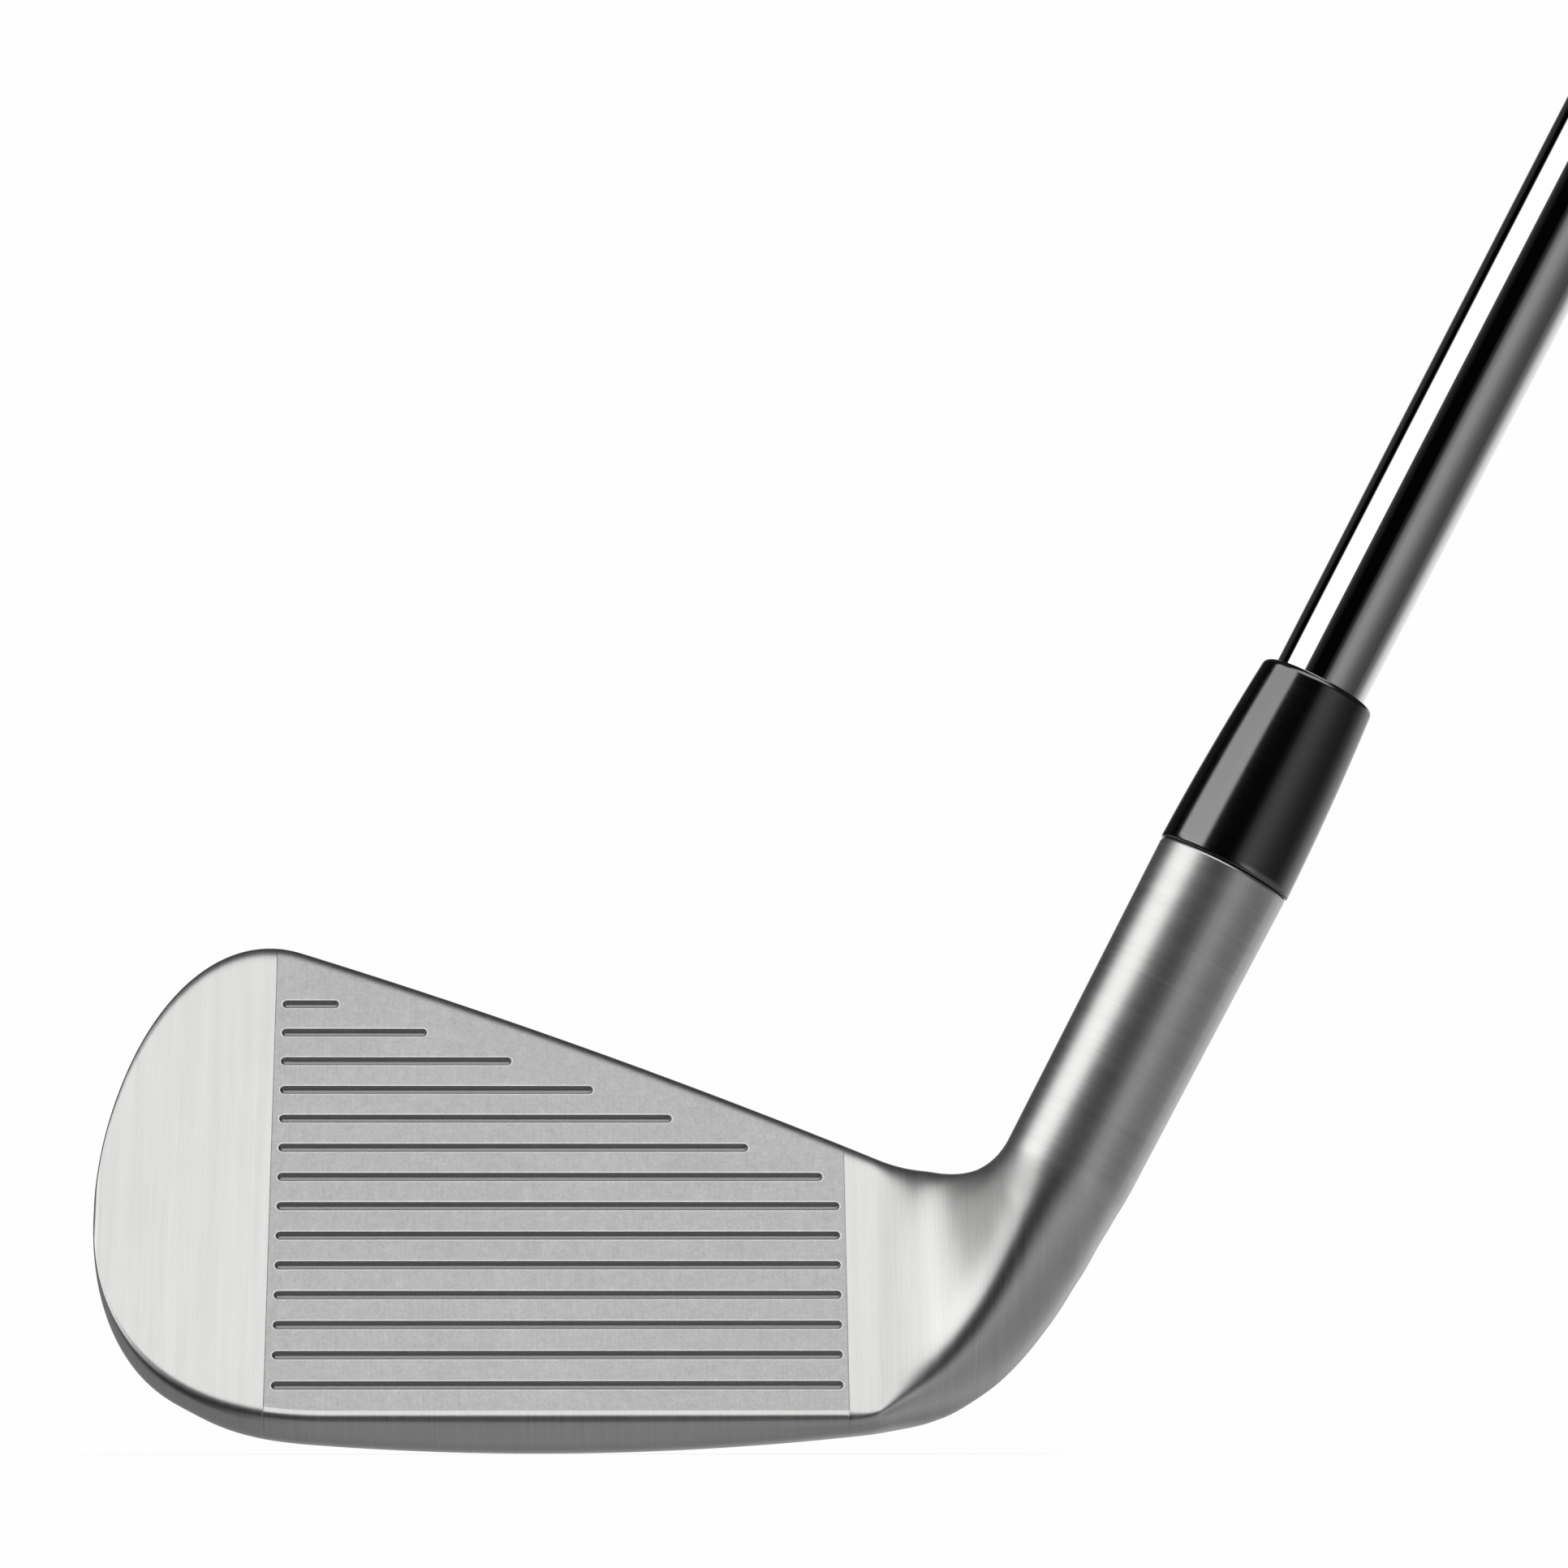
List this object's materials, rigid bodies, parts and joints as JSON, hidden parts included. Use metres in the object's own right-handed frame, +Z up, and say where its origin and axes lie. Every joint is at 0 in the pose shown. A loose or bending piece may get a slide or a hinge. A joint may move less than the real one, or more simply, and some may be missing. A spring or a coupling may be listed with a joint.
{
  "type": "iron golf club",
  "caption": "Right-handed mid iron: cavity-back steel head with a grooved face plate, stepped chrome steel shaft, black ferrule and tapered rubber grip.",
  "frame": {"origin": "point where the shaft axis meets the ground plane, from which club length is measured; the sole's lowest point is on z = 0", "axes": "+X from toe to heel, -Y the way the face looks, +Z up from the ground; the club is at address and the shaft leans 62.3 degrees above +X in the plane y = 0"},
  "size_m": [0.5292, 0.0404, 0.8372],
  "materials": {
    "head_steel": "satin brushed stainless steel, brushing runs sole to topline on the face and round the hosel",
    "face_steel": "fine blasted steel with milled score lines, a little darker than the lands beside it",
    "tungsten": "dull sintered tungsten alloy",
    "cap_steel": "pressed steel, satin",
    "damper_rubber": "soft moulded elastomer, matte",
    "foam_tape": "double sided foam tape, matte",
    "badge_plastic": "moulded nylon, fine spark texture",
    "badge_metal": "brushed anodised aluminium",
    "brass_plug": "turned brass",
    "epoxy": "cured two part epoxy, amber",
    "ferrule_plastic": "polished black cellulose plastic",
    "shaft_chrome": "mirror chrome plate on stepped steel tube",
    "band_film": "plain printed film without lettering",
    "grip_tape": "double sided paper tape",
    "grip_rubber": "moulded rubber with a fine raised pattern",
    "cap_rubber": "hard moulded rubber"
  },
  "bodies": {
    "root": {"head_body": "head_steel", "face_plate": "face_steel", "toe_weight": "tungsten", "heel_weight": "tungsten", "weight_caps": "cap_steel", "face_damper": "damper_rubber", "badge_tape": "foam_tape", "badge_base": "badge_plastic", "badge_plate": "badge_metal", "tip_weight": "brass_plug", "hosel_epoxy": "epoxy", "ferrule": "ferrule_plastic", "shaft": "shaft_chrome", "shaft_band": "band_film", "grip_tape": "grip_tape", "grip": "grip_rubber", "grip_cap": "cap_rubber"}
  },
  "joints": []
}
